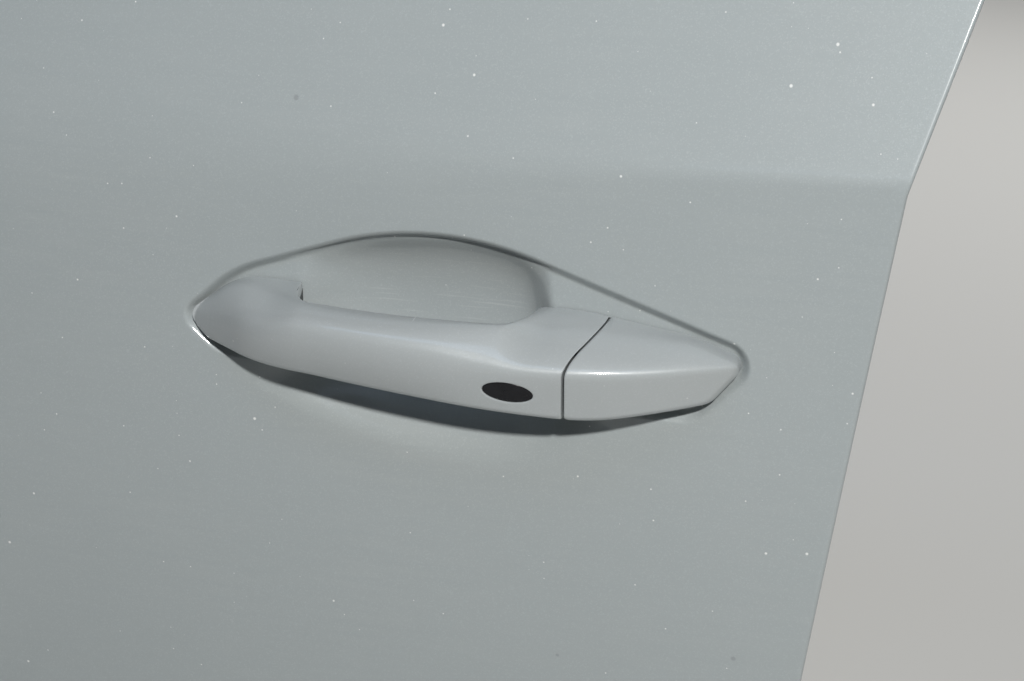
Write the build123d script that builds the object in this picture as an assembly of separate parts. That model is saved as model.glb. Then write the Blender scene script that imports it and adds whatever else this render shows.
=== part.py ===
from build123d import *
import math
import os

os.makedirs("parts", exist_ok=True)

# Exterior pull handle of a car's left front door, with the section of outer skin that it is clamped through.
# X runs along the handle to the car's rear, +Y goes into the door, Z is up, in millimetres.
# The origin is on the skin's outer face, 122 mm behind the grip's front tip and near the middle of the handle.

# Outer skin
skin_wall = 1.0
plan_radius = 5000.0            # gentle barrel of the door, seen from above
side_radius = 1400.0            # barrel of the door below the crease
side_radius_height = 10.0
crease_height = 75.0
crease_round = 14.0
shoulder_lean = 0.42            # how fast the skin leans inwards above the crease
crease_rise = 1.75              # degrees, up towards the rear
section_front = -250.0
section_low = -218.0
section_high = 175.0
shut_edge = 167.0               # rear shut edge at the handle's height
shut_lean_low = 0.15
shut_lean_high = 0.3
hem_width = 11.0
hem_depth = 2.8
corner_round = 12.0
rear_corner_round = 3.0
crease_corner_round = 6.0
block_half = 260.0              # half size of the block the skin's faces are cut from
block_back = 140.0

# Leaf-shaped pocket and finger bowl pressed in the skin
ledge_depth = 3.8
ledge_reach = 8.0               # how far the tool of the ledge reaches past it
rim_slope = 40.0                # degrees that the pocket's wall leans out of square
# x, z and corner radius
pocket_outline = [(-128.5, -3.4, 7.0), (-103.0, 19.7, 60.0), (-12.6, 50.9, 135.0), (126.7, 2.9, 9.9),
                  (97.0, -27.0, 12.0), (-112.0, -18.0, 14.0)]
bowl_depth = 17.0
bowl_middle = -18.0
bowl_front_fall = 3.0           # powers that shape the fall from the floor to each side
bowl_rear_fall = 7.0
bowl_top_fall = 4.0
bowl_low_fall = 2.2
# Rim of the bowl: x over z at its two ends, z over x at its top and bottom
bowl_front_rim = [(-60.0, -98.0), (-36.0, -95.0), (-10.0, -82.0), (12.0, -73.5), (22.0, -75.0), (31.0, -82.0),
                  (50.0, -92.0)]
bowl_rear_rim = [(-60.0, 68.0), (-37.0, 64.0), (-10.0, 46.0), (12.0, 37.0), (36.0, 35.5), (50.0, 35.5)]
bowl_outside = 4.0              # how soon the face levels out in front of the skin, past its rim
bowl_top_rim = [(-95.0, 25.0), (-79.0, 30.0), (-69.0, 33.8), (-54.0, 39.0), (-40.0, 42.0), (-25.0, 44.3),
                (-10.0, 45.3), (4.0, 45.0), (15.0, 43.3), (24.0, 41.0), (41.0, 36.0), (60.0, 30.0)]
bowl_low_rim = [(-95.0, -30.0), (-80.0, -37.0), (-69.0, -43.0), (-49.0, -48.5), (-28.0, -53.0), (-6.0, -56.3),
                (13.5, -56.3), (28.0, -53.0), (38.0, -48.0), (51.0, -40.0), (66.0, -30.0)]
# Where the bowl's net of points is taken
bowl_net_x = [-108.0, -98.0, -90.0, -84.0, -78.0, -72.0, -64.0, -52.0, -36.0, -18.0, -2.0, 11.0, 20.0, 26.0, 30.5,
              34.0, 37.0, 40.0, 44.0, 49.0, 55.0, 61.0, 67.0]
bowl_net_z = [-64.0, -59.0, -54.0, -48.0, -41.0, -31.0, -18.0, -3.0, 12.0, 24.0, 33.0, 39.0, 44.0, 49.0, 54.0]
# Front, rear, low and high limits of the bowl; above the handle's middle the pocket's rim limits it too
bowl_reach = (-104.0, 66.0, -62.0, 50.0)
bowl_tool = 60.0

# Handle outline in front view: x, z and corner radius
handle_outline = [(-126.0, -2.5, 6.0), (-101.0, 16.8, 30.0), (50.0, 16.2, 120.0), (97.0, 9.4, 60.0),
                  (119.5, 1.0, 5.0), (105.5, -15.8, 8.0), (60.0, -21.8, 120.0), (-60.0, -12.4, 200.0),
                  (-115.0, -11.5, 10.0)]
# The outline's upper and lower edges, z over x
handle_top = [(-126.0, -2.5), (-112.0, 8.2), (-104.0, 13.2), (-96.0, 15.8), (-86.0, 16.6), (30.0, 16.1),
              (50.0, 15.7), (66.0, 13.9), (97.0, 9.2), (119.5, 1.0)]
handle_low = [(-126.0, -9.0), (-115.0, -11.5), (-60.0, -12.6), (60.0, -21.4), (92.0, -17.6), (105.5, -15.4),
              (119.5, -8.0)]
crown_height = 40.0             # how far the ridge stands out of the skin
crown_middle = -10.0
crown_radius = 300.0
crown_front_turn = -62.0        # where the crown starts to fall faster towards the front tip
crown_front_radius = 75.0
crown_front_angle = 38.0
crown_rear_turn = 50.0
crown_rear_radius = 165.0
crown_rear_angle = 45.0
crown_tool = 80.0               # how far the block behind the crown reaches
# Ridge between the upper and lower facets: x, height, how soft it is, slope above it and share of plain slope below
ridge_rows = [(-134.0, -3.0, 3.0, 0.7, 0.0), (-120.0, -1.6, 3.4, 0.7, 0.0), (-107.0, 2.5, 5.0, 0.6, 0.0),
              (-97.0, 4.9, 5.6, 0.55, 0.0), (-87.0, 7.0, 6.0, 0.5, 0.0), (-78.0, 8.9, 5.5, 0.45, 0.0),
              (-70.0, 10.4, 5.0, 0.4, 0.0), (-63.0, 11.1, 4.6, 0.38, 0.0), (-56.0, 11.6, 4.2, 0.35, 0.0),
              (-32.0, 11.1, 4.1, 0.38, 0.0), (-8.0, 8.9, 4.4, 0.5, 0.2), (10.0, 6.0, 4.1, 0.7, 0.6),
              (20.0, 4.3, 3.6, 0.86, 0.85), (27.0, 3.4, 3.0, 0.95, 0.95), (34.0, 2.9, 2.5, 1.0, 1.0),
              (41.0, 2.5, 2.1, 1.0, 1.0), (50.0, 2.2, 1.7, 1.0, 1.0), (75.0, 1.8, 1.3, 1.0, 1.0),
              (100.0, 1.8, 1.1, 0.9, 1.0), (134.0, 1.2, 1.1, 0.8, 1.0)]
lower_slope = 0.3
lower_curve = 0.0125
edge_round = 2.6
ledge_landing = 2.8             # depth where the upper facet meets the ledge
landing_front = (-82.0, -62.0)  # where the upper edge leaves the ledge behind the front foot
landing_rear = (22.0, 40.0)     # where it comes down to the ledge again
# The net's columns: shares of the way down from the ridge, up from it, and distances from the lower edge
net_down = [0.75, 0.5, 0.28, 0.1]
net_up = [0.0, 0.14, 0.32, 0.5, 0.66, 0.8, 0.9, 0.965, 1.0]
net_edge = [0.0, 0.2, 0.75, 1.6, 2.8]
net_over = 1.5
net_tolerance = 0.15
net_fall = 8.0
bar_thickness = 17.0
gap_front = -66.0
gap_rear = 32.0
gap_round = 14.0
gap_edge_round = 2.5
gap_bow = 400.0                 # radius of the bar's back
gap_flare = 5.0                 # how far each foot's wall leans at the bar
gap_middle = -14.0
handle_base = 12.0              # depth of the block the handle is cut from
shell_wall = 3.0
inlay_depth = 11.0

# Sensor lens in the lower facet
sensor_x = 28.2
sensor_z = -8.2
sensor_half_width = 10.2
sensor_half_height = 4.5
sensor_turn = 6.0
sensor_gap = 0.15
sensor_deep = 1.6
sensor_proud = 0.2

# Split between the moving grip and the fixed cap: x, z and corner radius of its line
split_line = [(49.1, -24.0), (51.2, 5.0), (66.0, 18.5)]
split_round = 14.0
split_gap = 1.0

# Gaskets on the ledge
gasket_thick = 1.2
gasket_inset = 0.8
pad_front_end = -84.0
pad_rear_start = 53.0
foot_clearance = 0.3

# Front pivot
pivot_x = -108.0
pivot_y = 10.5
pivot_pin_radius = 2.5
running_clearance = 0.06
hook_eye_radius = 5.4
hook_width = 9.0
hook_neck = (4.0, 13.0)         # behind the pivot
root_y = -5.0                   # how far hook and claw reach into the grip
pull_angle = 9.0
carrier_clearance = 0.3

# Claw and bell crank
claw_x = 44.0
claw_thick = 7.0
claw_low = -8.0
claw_high = 9.0
claw_tail = 8.0                 # plate left behind the roller
roller_y = 38.0
roller_z = -6.0
roller_radius = 4.0
roller_length = 14.5
crank_arm = 27.0
crank_swing = 54.0
finger_radius = 2.0
slot_width = 10.4
crank_pin_radius = 3.0
hub_radius = 7.0
hub_length = 17.0
arm_thick = 4.0
arm_x = 54.0
rod_arm = 24.0
rod_hole_radius = 2.5

# Return spring and counterweight
spring_wire = 1.4
spring_radius = 8.9
spring_turns = 4
spring_facets = 18              # straight runs in each turn
weight_radius = 6.0
weight_reach = 16.0
weight_length = 11.0

# Lock behind the cap
lock_x = 84.0
lock_z = -3.0
lock_radius = 10.0
barrel_radius = 6.5
lock_front = -2.0
lock_back = 52.0

# Cap
cap_wall = 2.5

# Carrier behind the skin
carrier_low = -17.0
carrier_high = 15.0
case_back = 46.0
# Plan view: x, y and corner radius
carrier_plan = [(-119.0, -4.0, 1.0), (-119.0, 20.0, 4.0), (-86.0, 36.0, 12.0), (24.0, 36.0, 8.0),
                (34.0, case_back, 8.0), (108.0, case_back, 4.0), (108.0, -4.0, 1.0), (28.0, -4.0, 1.0),
                (26.0, 22.0, 3.0), (-86.0, 22.0, 6.0), (-90.0, -4.0, 1.0)]
ear_thick = 4.0
ear_near = 13.0                 # from the crank's axis to the ears' upper and lower ends
ear_far = 14.0
ear_end = 9.0
ear_round = 8.0
ear_bury = 3.0
# Room in the carrier round the hook, the claw and the crank's arm
hook_room = (-7.0, 15.0, 7.0)
claw_room = (-9.0, 15.0, -14.0, 13.0)
arm_room = (1.0, 2.0)
screw_places = [66.0, 104.0]
screw_height = -2.0
screw_radius = 2.5
screw_length = 18.0
screw_head_radius = 4.2
screw_head = 2.5
screw_depth = 24.0              # depth of the screws' holes in the carrier


def front_shape(points):
    """Flat face in front view from rows of x, z and corner radius."""
    corners = [(x, z) for x, z, radius in points]
    return Plane.XZ * make_face(FilletPolyline(*corners, radius=[row[2] for row in points], close=True))


def through(face, near=-70.0, far=90.0):
    """Solid of a front-view face, from near to far along Y."""
    return extrude(Pos(0, far, 0) * face, far - near)


def behind(depth):
    """Everything behind the skin's outer face pushed inwards by a depth."""
    low, high, back = -block_half, block_half, block_back

    def bulge(z):
        return side_radius - math.sqrt(side_radius ** 2 - (z - side_radius_height) ** 2)

    top_y = bulge(crease_height) + shoulder_lean * (high - crease_height)
    curve = ThreePointArc((bulge(low), low), (bulge(low / 3), low / 3), (bulge(crease_height), crease_height))
    edges = [curve, Line(curve @ 1, (top_y, high)), Line((top_y, high), (back, high)),
             Line((back, high), (back, low)), Line((back, low), curve @ 0)]
    profile = make_face(Wire([edge.edge() for edge in edges]))
    crease = min(profile.vertices(), key=lambda v: abs(v.Y - crease_height) + abs(v.X - bulge(crease_height)))
    profile = Plane.YZ * fillet(crease, crease_round)
    axis = Axis((0, plan_radius, 0), (0, 0, 1))
    half = math.degrees(block_half / plan_radius)
    swept = revolve(profile.rotate(axis, -half), axis, 2 * half)
    return Pos(0, depth, 0) * Rot(0, -crease_rise, 0) * swept


def between(rows, at):
    """Value at a place on the straight lines through rows of place and value."""
    if at <= rows[0][0]:
        return rows[0][1]
    for (start, low), (end, high) in zip(rows, rows[1:]):
        if at <= end:
            return low + (high - low) * (at - start) / (end - start)
    return rows[-1][1]


def eased(at, start, end):
    share = min(max((at - start) / (end - start), 0.0), 1.0)
    return share * share * (3 - 2 * share)


def net_solid(rows, reach):
    """Solid of a smooth face through rows of points, carried along Y by a reach."""
    face = Face.make_surface_from_array_of_points(rows, tol=net_tolerance, max_deg=3)
    return extrude(face, reach, dir=(0, 1, 0))


def bowl_face(x, z):
    """Depth of the finger bowl's face behind the XZ plane; in front of it outside the rim."""
    front, rear = between(bowl_front_rim, z), between(bowl_rear_rim, z)
    top, low = between(bowl_top_rim, x), between(bowl_low_rim, x)
    end, fall = (front, bowl_front_fall) if x < bowl_middle else (rear, bowl_rear_fall)
    along = 1 - abs((x - bowl_middle) / (end - bowl_middle)) ** fall
    v = (2 * z - top - low) / (top - low)
    up = 1 - abs(v) ** (bowl_top_fall if v > 0 else bowl_low_fall)
    if along > 0 and up > 0:
        return bowl_depth * along * up
    past = min(along, up)
    return bowl_depth * past / (1 - bowl_outside * past)


def bowl(grow=0.0):
    """Everything in front of the finger bowl's face, pushed inwards by a wall and held inside the pocket's rim."""
    rows = [[(x, bowl_face(x, z) + grow, z) for z in bowl_net_z] for x in bowl_net_x]
    front, rear, low, high = bowl_reach
    middle = (front + rear) / 2
    upper = front_shape(pocket_outline)
    if grow:
        upper = offset(upper, grow)
    frame = Pos(middle, 0, (low + high) / 2) * Box(rear - front, bowl_tool, high - low)
    lower = Pos(middle, 0, low / 2) * Box(rear - front, bowl_tool, -low)
    return (through(upper) & frame) + lower - net_solid(rows, bowl_tool)


def section_outline():
    low_rear = shut_edge + shut_lean_low * section_low
    crease_rear = shut_edge + shut_lean_low * crease_height
    high_rear = crease_rear + shut_lean_high * (section_high - crease_height)
    return [(section_front, section_low, corner_round), (low_rear, section_low, rear_corner_round),
            (crease_rear, crease_height, crease_corner_round), (high_rear, section_high, rear_corner_round),
            (section_front, section_high, corner_round)]


def on_arc(centre, radius, angle):
    """Point on an arc of the plan path, its angle measured from straight out of the door."""
    turn = math.radians(angle)
    return (centre[0] + radius * math.sin(turn), centre[1] - radius * math.cos(turn))


def plan_face(x):
    """Y of the ridge over x: three arcs and two straight tails."""
    middle = (crown_middle, crown_radius - crown_height)
    front_angle = math.degrees(math.asin((crown_front_turn - crown_middle) / crown_radius))
    rear_angle = math.degrees(math.asin((crown_rear_turn - crown_middle) / crown_radius))
    front = on_arc(middle, crown_radius - crown_front_radius, front_angle)
    rear = on_arc(middle, crown_radius - crown_rear_radius, rear_angle)
    front_end = on_arc(front, crown_front_radius, -crown_front_angle)
    rear_end = on_arc(rear, crown_rear_radius, crown_rear_angle)
    if x < front_end[0]:
        return front_end[1] + (front_end[0] - x) * math.tan(math.radians(crown_front_angle))
    if x > rear_end[0]:
        return rear_end[1] + (x - rear_end[0]) * math.tan(math.radians(crown_rear_angle))
    if x < crown_front_turn:
        centre, radius = front, crown_front_radius
    elif x > crown_rear_turn:
        centre, radius = rear, crown_rear_radius
    else:
        centre, radius = middle, crown_radius
    return centre[1] - math.sqrt(radius ** 2 - (x - centre[0]) ** 2)


def crown_column(row):
    """Points of the handle's outer face at one place along it, from below its lower edge to above its upper edge."""
    x, ridge, soft, slope, plain = row
    top = max(between(handle_top, x), ridge + 0.5)
    low = between(handle_low, x)
    full = (top - ridge + math.hypot(top - ridge, soft)) / 2
    landed = max(1 - eased(x, *landing_front), eased(x, *landing_rear))
    drop = (bar_thickness - gap_edge_round) * (1 - landed) + (ledge_landing - plan_face(x)) * landed
    bend = max(drop - slope * full, 1.0)

    def face(z):
        reach = math.hypot(z - ridge, soft)
        above, below = min((reach + z - ridge) / 2, full), (reach - z + ridge) / 2
        down = slope * above + bend * (1 - math.sqrt(1 - (above / full) ** 2))
        under = plain * lower_slope * below + (1 - plain) * lower_curve * below ** 2
        share = 1 - min((z - low) / edge_round, 1.0)
        return plan_face(x) + down + under + edge_round * (1 - math.sqrt(1 - share ** 2))

    side = low + net_edge[-1]
    heights = [low + step for step in net_edge] + [ridge - share * (ridge - side) for share in net_down]
    heights += [ridge + share * (top - ridge) for share in net_up]
    points = [(x, face(z), z) for z in heights]
    first, last = points[0], points[-1]
    return [(x, first[1] + net_fall, low - net_over)] + points + [(x, last[1] + net_fall, top + net_over)]


def crown(inwards=0.0):
    """Everything behind the handle's outer face, pushed inwards."""
    return Pos(0, inwards, 0) * net_solid([crown_column(row) for row in ridge_rows], crown_tool)


def front_disc(x, z, radius):
    return Plane.XZ * Pos(x, z) * Circle(radius)


def front_slot(x_low, x_high, z_low, z_high, radius):
    middle = Pos((x_low + x_high) / 2, (z_low + z_high) / 2)
    return Plane.XZ * middle * RectangleRounded(x_high - x_low, z_high - z_low, radius)


def plan_solid(rows, low, high):
    """Solid of a plan-view polygon with rounded corners, between two heights."""
    corners = [(x, y) for x, y, radius in rows]
    face = make_face(FilletPolyline(*corners, radius=[row[2] for row in rows], close=True))
    return extrude(Pos(0, 0, low) * face, high - low)


def side_solid(rows, near, far):
    """Solid of a side-view polygon of y, z and corner radius, between two places along X."""
    corners = [(y, z) for y, z, radius in rows]
    face = make_face(FilletPolyline(*corners, radius=[row[2] for row in rows], close=True))
    return extrude(Plane.YZ.offset(near) * face, far - near)


def rod_x(y, z, radius, near, far):
    """Round bar along X."""
    return extrude(Plane.YZ.offset(near) * Pos(y, z) * Circle(radius), far - near)


def hull():
    """The whole handle before it is split: outline, crown and finger gap."""
    block = through(front_shape(handle_outline), -60, handle_base) & crown()
    back = bar_thickness - crown_height
    gap = plan_solid([(gap_front - 2 * gap_flare, handle_base + gap_flare, 0.01),
                      (gap_front, back + gap_edge_round, gap_round), (gap_middle, back - 0.5, gap_bow),
                      (gap_rear - gap_flare, back + gap_edge_round + 0.5, gap_round),
                      (gap_rear + 4, handle_base + gap_flare, 0.01)], -40, 40)
    return block - gap


def ledge_region(low, high):
    """Layer along the pocket's ledge between two depths behind the skin's outer face."""
    return behind(low) - behind(high)


def before_split(shift):
    """Everything to the front of the split face, moved along X."""
    low, turn, high = [(x + shift, z) for x, z in split_line]
    corners = [low, turn, high, (section_front, high[1]), (section_front, low[1])]
    face = make_face(FilletPolyline(*corners, radius=[0.01, split_round, 0.01, 0.01, 0.01], close=True))
    return through(Plane.XZ * face, -90, 90)


def inset_outline(inset):
    return offset(front_shape(handle_outline), -inset)


foot_seat = ledge_depth - gasket_thick - foot_clearance
cap_seat = ledge_depth - gasket_thick
whole = hull()
# Openings in the skin: front, rear, low, high and corner radius
claw_hole = (claw_x - 7.0, claw_x + 11.5, -12.0, 12.0, 3.0)
hook_hole = (pivot_x - 6.0, pivot_x + 15.0, -6.5, 6.5, 3.0)


def door_skin():
    sheet = through(front_shape(section_outline()), -20, 120)
    face, back = behind(0), behind(skin_wall)
    pocket = front_shape(pocket_outline)
    narrow = offset(pocket, -ledge_reach * math.tan(math.radians(rim_slope)) / 2)
    shelf = extrude(Pos(0, ledge_depth + ledge_reach / 2, 0) * narrow, ledge_reach * 2, dir=(0, -1, 0),
                    taper=-rim_slope)
    shelf_wall = Pos(0, skin_wall, 0) * shelf - behind(ledge_depth + skin_wall)
    shelf -= behind(ledge_depth)
    outer = face - shelf - bowl()
    inner = back - shelf_wall - bowl(skin_wall)
    skin = sheet & (outer - inner)
    edge = Pos(-hem_width, 0, 0) * sheet
    skin += (sheet - edge) & ledge_region(skin_wall / 2, hem_depth)
    skin -= through(front_slot(*hook_hole)) + through(front_slot(*claw_hole))
    skin -= through(front_disc(lock_x, lock_z, lock_radius + 0.3))
    for x in screw_places:
        skin -= through(front_disc(x, screw_height, screw_radius + 0.2))
    return skin


def gasket(rear):
    """Rubber pad between a foot and the ledge."""
    pad = through(inset_outline(gasket_inset)) & ledge_region(cap_seat, ledge_depth)
    if rear:
        pad &= Pos(pad_rear_start + 100, 0, 0) * Box(200, 60, 80)
        pad -= through(front_slot(*claw_hole))
        pad -= through(front_disc(lock_x, lock_z, lock_radius + 0.3))
        for x in screw_places:
            pad -= through(front_disc(x, screw_height, screw_head_radius + 0.4))
    else:
        pad &= Pos(pad_front_end - 100, 0, 0) * Box(200, 60, 80)
        pad -= through(front_slot(*hook_hole))
    return pad


def grip():
    """Painted cover of the bar and the black base inside it, with hook and claw."""
    block = (whole & before_split(-split_gap / 2)) - behind(foot_seat)
    rise = math.tan(math.radians(pull_angle + 0.5))
    relief = plan_solid([(-140, 20, 0.01), (-140, foot_seat - 0.2 - rise * (140 + pivot_x), 0.01),
                         (pivot_x, foot_seat - 0.2, 0.01), (pivot_x, 20, 0.01)], -30, 30)
    block -= relief
    core = block & through(inset_outline(shell_wall)) & crown(inlay_depth) & before_split(-shell_wall)
    core += hook() + claw()
    cover = block - core
    lens_face = crown(-sensor_proud)
    oval = Plane.XZ * Pos(sensor_x, sensor_z) * Rot(0, 0, -sensor_turn)
    seat = through(oval * Ellipse(sensor_half_width + sensor_gap, sensor_half_height + sensor_gap))
    lens = through(oval * Ellipse(sensor_half_width, sensor_half_height))
    cover -= seat - crown(sensor_deep)
    return cover, core, (lens & lens_face) - crown(sensor_deep)


def hook():
    near, far = [pivot_x + step for step in hook_neck]
    arm = plan_solid([(near, root_y, 0.5), (far, root_y, 0.5), (far, pivot_y - 3, 6),
                      (pivot_x + 2, pivot_y + hook_eye_radius, 1), (pivot_x - 1, pivot_y, 0.5)],
                     -hook_width / 2, hook_width / 2)
    eye = Pos(pivot_x, pivot_y, 0) * Cylinder(hook_eye_radius, hook_width)
    bore = Pos(pivot_x, pivot_y, 0) * Cylinder(pivot_pin_radius + running_clearance, 60)
    return arm + eye - bore


def claw():
    end, top = roller_y + claw_tail, roller_z + 2 * roller_radius
    near, far = roller_y - slot_width / 2, roller_y + slot_width / 2
    plate = side_solid([(root_y, claw_low, 1), (end, claw_low, 2), (end, claw_high, 4), (root_y, claw_high, 1)],
                       claw_x - claw_thick / 2, claw_x + claw_thick / 2)
    slot = side_solid([(near, claw_low - 5, 0.5), (far, claw_low - 5, 0.5), (far, top, 3), (near, top, 3)],
                      claw_x - claw_thick, claw_x + claw_thick)
    return plate - slot


half_swing = math.radians(crank_swing / 2)
crank_y = roller_y - crank_arm * math.sin(half_swing)
crank_z = roller_z - crank_arm * math.cos(half_swing)
rod_y = crank_y - rod_arm * math.sin(half_swing)
rod_z = crank_z - rod_arm * math.cos(half_swing)
weight_y = crank_y + weight_reach * math.cos(math.radians(45))
weight_z = crank_z - weight_reach * math.sin(math.radians(45))


def link(y, z, small, near, far):
    """Tapered arm from the crank's axis to an eye, both ends round."""
    ends = Sketch() + Pos(crank_y, crank_z) * Circle(hub_radius) + Pos(y, z) * Circle(small)
    return extrude(Plane.YZ.offset(near) * make_hull(ends.edges()), far - near)


def bell_crank():
    hub_x = arm_x - 0.5
    body = rod_x(crank_y, crank_z, hub_radius - 0.6, hub_x, hub_x + hub_length)
    body += link(roller_y, roller_z, 4.0, arm_x, arm_x + arm_thick)
    body += link(weight_y, weight_z, weight_radius, arm_x, arm_x + arm_thick)
    end = hub_x + hub_length
    body += link(rod_y, rod_z, 5.0, end - arm_thick, end)
    body += rod_x(roller_y, roller_z, finger_radius, arm_x - roller_length - 1.0, arm_x)
    body -= rod_x(crank_y, crank_z, crank_pin_radius + running_clearance, hub_x - 5, end + 5)
    return body - rod_x(rod_y, rod_z, rod_hole_radius, end - 10, end + 5)


def lock_housing():
    body = Pos(lock_x, (lock_front + lock_back) / 2, lock_z) * Rot(90, 0, 0) * Cylinder(
        lock_radius, lock_back - lock_front)
    bore = Pos(lock_x, 20, lock_z) * Rot(90, 0, 0) * Cylinder(barrel_radius + running_clearance, 120)
    return body - bore


def lock_barrel():
    body = Pos(lock_x, (lock_front + lock_back) / 2, lock_z) * Rot(90, 0, 0) * Cylinder(
        barrel_radius, lock_back - lock_front + 1.0)
    key = Pos(lock_x, lock_front, lock_z) * Box(1.6, 12, 8)
    return body - key


def lock_paddle():
    return Pos(lock_x, lock_back + 0.5 + 6, lock_z) * Box(2.5, 12, 9)


def carrier():
    body = plan_solid(carrier_plan, carrier_low, carrier_high)
    body &= behind(ledge_depth + skin_wall + carrier_clearance)
    body -= bowl(skin_wall + 1.0)
    for near in (arm_x - 1.0 - ear_thick, arm_x + hub_length):
        body += side_solid([(crank_y - ear_near, carrier_low + ear_bury, 1),
                            (crank_y + ear_far, carrier_low + ear_bury, 1),
                            (crank_y + ear_end, crank_z - ear_round, ear_round),
                            (crank_y - ear_end, crank_z - ear_round, ear_round)], near, near + ear_thick)
    front, rear, back = hook_room
    body -= plan_solid([(pivot_x + front, root_y - 1, 1), (pivot_x + rear, root_y - 1, 1),
                        (pivot_x + rear, pivot_y + back, 3), (pivot_x + front, pivot_y + back, 3)],
                       -hook_width / 2 - 1, hook_width / 2 + 1)
    body -= Pos(pivot_x, pivot_y, 0) * Cylinder(pivot_pin_radius, 80)
    front, rear, low, high = claw_room
    body -= through(front_slot(claw_x + front, claw_x + rear, low, high, 3))
    near, far = arm_room
    body -= side_solid([(0, -40, 1), (case_back - 3, -40, 1), (case_back - 3, 0, 1), (0, 0, 1)],
                       arm_x - near, arm_x + arm_thick + far)
    body -= rod_x(crank_y, crank_z, crank_pin_radius, 30, 100)
    body -= through(front_disc(lock_x, lock_z, lock_radius))
    for x in screw_places:
        body -= through(front_disc(x, screw_height, screw_radius), -10, screw_depth)
    return body


def screws():
    group = []
    for x in screw_places:
        head_y = ledge_depth + x ** 2 / (2 * plan_radius) - 0.05
        shank = Pos(x, head_y + screw_length / 2, screw_height) * Rot(90, 0, 0) * Cylinder(screw_radius, screw_length)
        top = Pos(x, head_y - screw_head / 2, screw_height) * Rot(90, 0, 0) * Cylinder(screw_head_radius, screw_head)
        group.append(shank + top)
    return Compound(children=group)


def cap_shell():
    block = (whole - before_split(split_gap / 2)) - behind(cap_seat)
    cavity = through(inset_outline(cap_wall)) & crown(cap_wall * 1.2)
    return block - (cavity - before_split(split_gap / 2 + cap_wall))


def return_spring():
    """Wire coil round the hub, its turns drawn as short straight runs."""
    pitch = spring_wire * 1.06
    count = spring_turns * spring_facets
    near = arm_x + arm_thick + spring_wire / 2 + 0.3
    step = 2 * math.pi / spring_facets
    points = [(near + pitch * k / spring_facets, crank_y + spring_radius * math.cos(k * step),
               crank_z + spring_radius * math.sin(k * step)) for k in range(count + 1)]
    path = Polyline(*points)
    start = Plane(origin=path @ 0, z_dir=path % 0)
    return sweep(start * RegularPolygon(spring_wire / 2, 6), path=path, transition=Transition.RIGHT)


cover, core, lens = grip()
parts = {
    "door_skin": door_skin(),
    "gasket_front": gasket(False),
    "gasket_rear": gasket(True),
    "carrier": carrier(),
    "carrier_screws": screws(),
    "cap_shell": cap_shell(),
    "lock_housing": lock_housing(),
    "lock_barrel": lock_barrel(),
    "lock_paddle": lock_paddle(),
    "pivot_pin": Pos(pivot_x, pivot_y, (carrier_low + carrier_high) / 2) * Cylinder(
        pivot_pin_radius, carrier_high - carrier_low - 1),
    "crank_pin": rod_x(crank_y, crank_z, crank_pin_radius, arm_x - 1.0 - ear_thick, arm_x + hub_length + ear_thick),
    "return_spring": return_spring(),
    "grip_shell": cover,
    "grip_base": core,
    "sensor_lens": lens,
    "bell_crank": bell_crank(),
    "counterweight": rod_x(weight_y, weight_z, weight_radius, arm_x + arm_thick, arm_x + arm_thick + weight_length),
    "claw_roller": rod_x(roller_y, roller_z, roller_radius, arm_x - 0.5 - roller_length, arm_x - 0.5)
    - rod_x(roller_y, roller_z, finger_radius + running_clearance, 0, 100),
}
for node, solid in parts.items():
    print(node, round(solid.volume, 1), len(solid.solids()))
    export_step(solid, f"parts/{node}.step")
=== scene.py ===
import math

import bpy
import numpy as np
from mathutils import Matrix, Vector
from mathutils.geometry import delaunay_2d_cdt


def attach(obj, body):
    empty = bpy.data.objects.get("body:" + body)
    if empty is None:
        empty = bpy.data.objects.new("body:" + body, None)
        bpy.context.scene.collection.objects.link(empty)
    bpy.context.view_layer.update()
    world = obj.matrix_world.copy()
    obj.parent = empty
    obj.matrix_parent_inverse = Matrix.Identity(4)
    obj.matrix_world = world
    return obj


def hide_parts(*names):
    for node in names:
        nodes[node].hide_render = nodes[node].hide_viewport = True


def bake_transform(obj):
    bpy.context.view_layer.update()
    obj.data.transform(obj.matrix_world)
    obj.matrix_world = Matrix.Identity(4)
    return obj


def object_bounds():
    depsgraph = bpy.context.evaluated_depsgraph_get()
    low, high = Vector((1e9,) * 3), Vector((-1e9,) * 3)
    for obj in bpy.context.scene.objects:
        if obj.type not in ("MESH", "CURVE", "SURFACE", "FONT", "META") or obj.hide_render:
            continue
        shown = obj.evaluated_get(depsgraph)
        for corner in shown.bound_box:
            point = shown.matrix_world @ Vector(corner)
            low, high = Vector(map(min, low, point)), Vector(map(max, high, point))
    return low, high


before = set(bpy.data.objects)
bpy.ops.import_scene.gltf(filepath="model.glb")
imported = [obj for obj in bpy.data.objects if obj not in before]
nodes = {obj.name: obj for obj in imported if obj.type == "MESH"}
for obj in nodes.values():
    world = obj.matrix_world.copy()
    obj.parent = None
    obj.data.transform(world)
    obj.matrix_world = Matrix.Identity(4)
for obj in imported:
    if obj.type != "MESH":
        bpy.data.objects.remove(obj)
cadBox = [list(corner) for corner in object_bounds()]
mm = 0.001     # the shape formulas below work in millimetres
arcStep = 0.2     # longest stretch between two points of an arc
triangleRow = 0.866     # height of an even triangle over its side
tiny = 1e-7     # points that lie closer together than this count as one
mostAtOnce = 3000000     # distances held in memory at a time
sharpFrom = 35     # degrees between two faces from which their edge is shaded sharp
unlimited = 50     # a depth that no piece reaches


def cosSin(degrees):
    return math.cos(math.radians(degrees)), math.sin(math.radians(degrees))


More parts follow.
